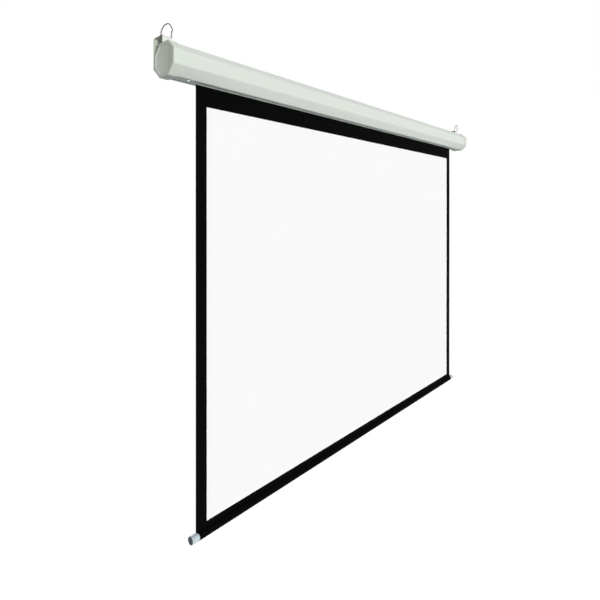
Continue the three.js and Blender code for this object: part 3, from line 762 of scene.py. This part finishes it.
def put_screw(node, axis, end, flush=False):
    """Puts a screw with a cross recess where a node's screw sits, its head at the given end."""
    low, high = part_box(node)
    place = screw_place(node, axis, end)
    direction = Vector([end if name == axis else 0 for name in "xyz"])
    reach = getattr(high, axis) - getattr(low, axis)
    if flush:
        bm = flush_screw(reach)
    else:
        bm = pan_screw(reach - SCREW_HEAD_HEIGHT)
        place -= direction * SCREW_HEAD_HEIGHT
    piece(f"{node}_steel", moved(bm, aimed(place, direction)), screw_steel, "case", [node])


def bent_wire(points, radii):
    """Round wire along a line of X and Z points, with a bend of its own radius at each corner."""
    bm = bmesh.new()
    steps = [(end - start).normalized() for start, end in zip(points, points[1:])]
    facing = Vector((0, 0, 1)).rotation_difference(steps[0]).to_matrix().to_4x4()
    start = Matrix.Translation(points[0]) @ facing
    ring = bmesh.ops.create_circle(
        bm, cap_ends=False, segments=WIRE_SIDES, radius=WIRE_RADIUS, matrix=start)["verts"]
    front = ring + bm.edges[:]
    place = points[0]
    for corner, radius, before, after in zip(points[1:], radii, steps, steps[1:]):
        angle = math.atan2(before.cross(after).y, before.dot(after))
        reached = corner - before * radius * math.tan(abs(angle) / 2)
        front = push(bm, front, reached - place)
        centre = reached + Matrix.Rotation(math.copysign(math.pi / 2, angle), 3, "Y") @ before * radius
        turn_steps = max(LEAST_BEND_STEPS, round(abs(angle) / BEND_STEP))
        front = bmesh.ops.spin(
            bm, geom=front, cent=centre, axis=(0, 1, 0), angle=angle, steps=turn_steps)["geom_last"]
        place = centre + Matrix.Rotation(angle, 3, "Y") @ (reached - centre)
    push(bm, front, points[-1] - place)
    bmesh.ops.holes_fill(bm, edges=[edge for edge in bm.edges if edge.is_boundary], sides=0)
    bmesh.ops.remove_doubles(bm, verts=bm.verts, dist=MERGE_DISTANCE)
    bmesh.ops.recalc_face_normals(bm, faces=bm.faces)
    soften(bm, SMALL_EDGE, segments=2, angle=SQUARE_ANGLE)
    return bm


def push(bm, front, vector):
    """Draws an open ring of edges along a vector, and gives the new ring."""
    edges = [item for item in front if isinstance(item, bmesh.types.BMEdge)]
    drawn = bmesh.ops.extrude_edge_only(bm, edges=edges)["geom"]
    ring = [item for item in drawn if not isinstance(item, bmesh.types.BMFace)]
    bmesh.ops.translate(bm, verts=[item for item in ring if isinstance(item, bmesh.types.BMVert)], vec=vector)
    return ring


def bail(node, hanger, side):
    """Two tongues in the hanger's tube, tight elbows, and a lopsided arch that leans to the front."""
    low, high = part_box(node)
    strap_low, strap_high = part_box(hanger)
    reach = (high.x - low.x) / 2 - WIRE_RADIUS
    tip = (strap_high.x - strap_low.x) / 2 - BAIL_TONGUE
    bends = [BAIL_KNEE, BAIL_HAUNCH, BAIL_CROWN, BAIL_SHOULDER, BAIL_ANKLE]
    bend_radii = [KNEE_RADIUS, HAUNCH_RADIUS, CROWN_RADIUS, SHOULDER_RADIUS, ANKLE_RADIUS]
    radii = [BAIL_ELBOW, *bend_radii, BAIL_ELBOW]
    line = [(-tip, 0), (-reach, 0), *bends, (reach, 0), (tip, 0)]
    wire = bent_wire([Vector((-side * inwards, 0, up)) for inwards, up in line], radii)
    pivot = ((low.x + high.x) / 2, strap_low.y + KNUCKLE_RADIUS, strap_high.z - KNUCKLE_RADIUS)
    return moved(wire, Matrix.Translation(pivot) @ Matrix.Rotation(BAIL_LEAN, 4, "X"))


for hand, side in HANDS:
    hanger = f"hanger_{hand}"
    screws = [f"hanger_screw_{hand}_{level}" for level in LEVELS]
    made = piece(f"strap_{hand}", strap(hanger, screws), hanger_paint, "case", [hanger])
    paint_strap(made, hanger)
    for screw in screws:
        put_screw(screw, "y", 1, flush=True)
    put_screw(f"plate_screw_{hand}", "z", -1)
    for level in LEVELS:
        put_screw(f"bracket_screw_{hand}_{level}", "x", side)
    node = f"bail_{hand}"
    piece(f"wire_{hand}", bail(node, hanger, side), bail_wire, node, [node])


# Fabric, hem and weight tube
fabric_low, fabric_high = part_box("fabric_panel")
hem_low, hem_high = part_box("hem_pocket")
tube_low, tube_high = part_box("weight_tube")
tube_radius = (tube_high.y - tube_low.y) / 2
tube_y, tube_z = (tube_low.y + tube_high.y) / 2, (tube_low.z + tube_high.z) / 2
picture_foot = hem_low.z + BOTTOM_BORDER
sheet_size = (fabric_high.x - fabric_low.x, fabric_high.z - picture_foot)
travel = next(joint for joint in frame["joints"] if joint["name"] == "screen_drop")["range_m"][1]


def screen_sheet():
    """The white sheet down to the picture's foot, flat but for a faint drift out of its plane."""
    width, length = sheet_size
    bm = bmesh.new()
    bmesh.ops.create_grid(bm, x_segments=SHEET_COLUMNS, y_segments=SHEET_ROWS, size=0.5)
    bmesh.ops.scale(bm, vec=(width, length, 1), verts=bm.verts)
    upright = Matrix.Rotation(math.pi / 2, 4, "X")
    moved(bm, Matrix.Translation((0, fabric_low.y, fabric_high.z - length / 2)) @ upright)
    bmesh.ops.recalc_face_normals(bm, faces=bm.faces)
    if next(iter(bm.faces)).normal.y > 0:
        bmesh.ops.reverse_faces(bm, faces=bm.faces)
    bmesh.ops.solidify(bm, geom=bm.faces[:], thickness=FABRIC_THICKNESS)
    for v in bm.verts:
        drop = (fabric_high.z - v.co.z) / length
        wave = math.sin(WAVE_ACROSS * v.co.x + WAVE_START) * math.sin(WAVE_DOWN * drop + WAVE_TOP)
        ripple = RIPPLE_SHARE * math.sin(RIPPLE_ACROSS * v.co.x - RIPPLE_DOWN * drop)
        v.co.y += SHEET_SWAY * (wave + ripple) * max(0, math.sin(math.pi * drop)) ** 0.5
    place = bm.loops.layers.uv.new("sheet")
    for face in bm.faces:
        front = face.normal.y < FRONT_NORMAL_Y
        face.material_index = SHEET_FRONT_MATERIAL if front else SHEET_BACK_MATERIAL
        for loop in face.loops:
            u = (loop.vert.co.x - fabric_low.x) / width
            loop[place].uv = (u, (fabric_high.z - loop.vert.co.z) / length)
    return bm


def arc(centre, radius, start, end, steps):
    """Points of Y and Z on a circle between two angles."""
    turns = (start + (end - start) * step / steps for step in range(steps + 1))
    return [(centre[0] + radius * math.cos(turn), centre[1] + radius * math.sin(turn)) for turn in turns]


def hem():
    """The black foot of the screen: flat fabric, a loop round the tube, and its end welded on behind.

    The corners are cut off above the tube, so the loop is narrower than the fabric."""
    front = fabric_low.y
    back = front + 2 * FABRIC_THICKNESS + WELD_GAP
    radius = tube_radius + FIT + FABRIC_THICKNESS
    weld = tube_z + radius + HEM_WELD
    touch = math.acos(radius / (weld - tube_z))
    upright = math.pi / 2
    loop = arc((tube_y, tube_z), radius, upright + touch, upright - touch + 2 * math.pi, HEM_STEPS)
    inset = hem_low.x - fabric_low.x
    line = [(front, picture_foot), (front, weld), *loop, (back, weld), (back, hem_high.z)]
    bm = polyline_along_x(line, fabric_low.x, fabric_high.x)
    for v in bm.verts:
        if v.co.y > back - WELD_GAP or v.co.z < weld - WELD_GAP:
            v.co.x -= math.copysign(inset, v.co.x)
    bmesh.ops.recalc_face_normals(bm, faces=bm.faces)
    bmesh.ops.solidify(bm, geom=bm.faces[:], thickness=FABRIC_THICKNESS)
    return bm


def weight_tube():
    """A round tube with lightly broken edges."""
    inner = tube_radius - TUBE_WALL
    ends = [(tube_low.x, inner), (tube_low.x, tube_radius), (tube_high.x, tube_radius), (tube_high.x, inner)]
    bm = turned(ends, tube_y, tube_z, FINE_STEPS)
    soften(bm, SMALL_EDGE, segments=2)
    return bm


def tube_plug(side):
    """A push-in plug: spigot, round-edged flange, and a dished face with a boss."""
    low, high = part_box("tube_plug_right")
    flange = high.x - PLUG_FLANGE
    spigot = tube_radius - TUBE_WALL - FIT
    dish, boss = tube_radius * PLUG_DISH_SHARE, tube_radius * PLUG_BOSS_SHARE
    floor = high.x - PLUG_DISH_DEPTH
    rim = quarter(high.x - PLUG_RIM_RADIUS, tube_radius - PLUG_RIM_RADIUS, PLUG_RIM_RADIUS, 0, PLUG_RIM_STEPS)
    outline = [
        (low.x, 0), (low.x, spigot), (flange, spigot), (flange, tube_radius), *reversed(rim),
        (high.x, dish), (floor, dish), (floor, boss), (high.x - SMALL_EDGE, boss), (high.x - SMALL_EDGE, 0),
    ]
    bm = turned(outline, tube_y, tube_z, FINE_STEPS)
    soften(bm, PLUG_EDGE, segments=3, angle=PLUG_SHARP_ANGLE)
    return mirror_x(bm, side)


front_finish = screen_front(sheet_size)
sheet = piece("screen_sheet", screen_sheet(), front_finish, "case", ["fabric_panel"])
sheet.data.materials.append(black_fabric)
foot = piece("hem_and_border", hem(), black_fabric, "weight_bar", ["hem_pocket"])
1 - travel / sheet_size[1]
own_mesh(sheet)
piece("weight_bar_tube", weight_tube(), tube_finish, "weight_bar", ["weight_tube"])
for hand, side in HANDS:
    node = f"tube_plug_{hand}"
    piece(f"end_plug_{hand}", tube_plug(side), plug_plastic, "weight_bar", [node])

# Finishes of the pieces that keep their solid
FINISHES = {
    zinc_steel: ["end_plate_left", "end_plate_right", "motor_bracket", "idler_bracket", "motor_split_pin",
                 "idler_pin", "idler_ring", "drive_wheel_screw", "output_shaft"],
    motor_metal: ["motor_tube", "gearbox_tube"],
    head_plastic: ["motor_head"],
    roller_metal: ["roller_tube"],
    black_fabric: ["fabric_roll"],
    nylon: ["limit_ring", "drive_wheel", "idler_plug"],
    bush_plastic: ["idler_bush"],
    terminal_plastic: ["terminal_block"],
    limit_plastic: ["limit_screw_up", "limit_screw_down"],
}
for material, nodes in FINISHES.items():
    for node in nodes:
        for slot in frame["nodes"][node].material_slots:
            slot.material = material


# Stage, light and camera
def make_floor():
    """A white floor that keeps shadows, and gives the object little light from below."""
    bm = bmesh.new()
    bmesh.ops.create_grid(bm, x_segments=1, y_segments=1, size=FLOOR_SIZE / 2)
    floor = object_of("floor", moved(bm, Matrix.Translation((0, 0, FLOOR_HEIGHT))))
    g = new_graph("floor_white")
    seen = seen_directly(g)
    dim, pale = (rgb(share, share, share) for share in (FLOOR_BOUNCE, FLOOR_SEEN))
    diffuse = g.add("ShaderNodeBsdfDiffuse", {}, {"Color": g.mix(seen, dim, pale)})
    glow = g.add("ShaderNodeEmission", {}, {"Color": rgb(1, 1, 1), "Strength": seen * FLOOR_GLOW})
    both = g.add("ShaderNodeAddShader", {}, {0: diffuse, 1: glow})
    g.add("ShaderNodeOutputMaterial", {}, {"Surface": both})
    floor.data.materials.append(g.owner)
    floor.visible_shadow = False


def seen_directly(g):
    """1 for rays from the camera and for mirrored and refracted ones, else 0."""
    camera = g.add("ShaderNodeLightPath", output="Is Camera Ray")
    glossy = g.add("ShaderNodeLightPath", output="Is Glossy Ray")
    through = g.add("ShaderNodeLightPath", output="Is Transmission Ray")
    return camera.larger(glossy).larger(through)


def make_world():
    """White where it is seen, and an even sky above the floor for the object."""
    world = bpy.data.worlds.new("studio")
    bpy.context.scene.world = world
    g = Graph(world)
    direction = g.add("ShaderNodeTexCoord", output="Generated")
    sky = g.add("ShaderNodeSeparateXYZ", {}, {"Vector": direction}, output="Z") > 0
    strength = seen_directly(g).larger(AMBIENT * sky)
    back = g.add("ShaderNodeBackground", {}, {"Color": rgb(1, 1, 1), "Strength": strength})
    g.add("ShaderNodeOutputWorld", {}, {"Surface": back})


def make_lamp(name, direction, strength, spread):
    """A broad, even lamp that shines along a direction."""
    lamp = bpy.data.lights.new(name, "SUN")
    lamp.energy = strength
    lamp.angle = spread
    made = bpy.data.objects.new(name, lamp)
    made.rotation_euler = Vector(direction).to_track_quat("-Z", "Y").to_euler()
    bpy.context.scene.collection.objects.link(made)


def make_camera():
    """A level camera, shifted down, from the left and below the case."""
    camera = bpy.data.objects.new("camera", bpy.data.cameras.new("camera"))
    camera.location = CAMERA_PLACE
    camera.rotation_euler = (math.pi / 2, 0, CAMERA_YAW)
    camera.data.lens = CAMERA_LENS
    camera.data.sensor_width = SENSOR_WIDTH
    camera.data.shift_y = CAMERA_SHIFT
    camera.data.clip_end = CAMERA_REACH
    bpy.context.scene.collection.objects.link(camera)
    bpy.context.scene.camera = camera


make_floor()
make_world()
make_lamp("key", KEY_DIRECTION, KEY_LIGHT, KEY_SPREAD)
make_lamp("back", BACK_DIRECTION, BACK_LIGHT, BACK_SPREAD)
make_camera()
bpy.context.scene.view_settings.view_transform = "Standard"
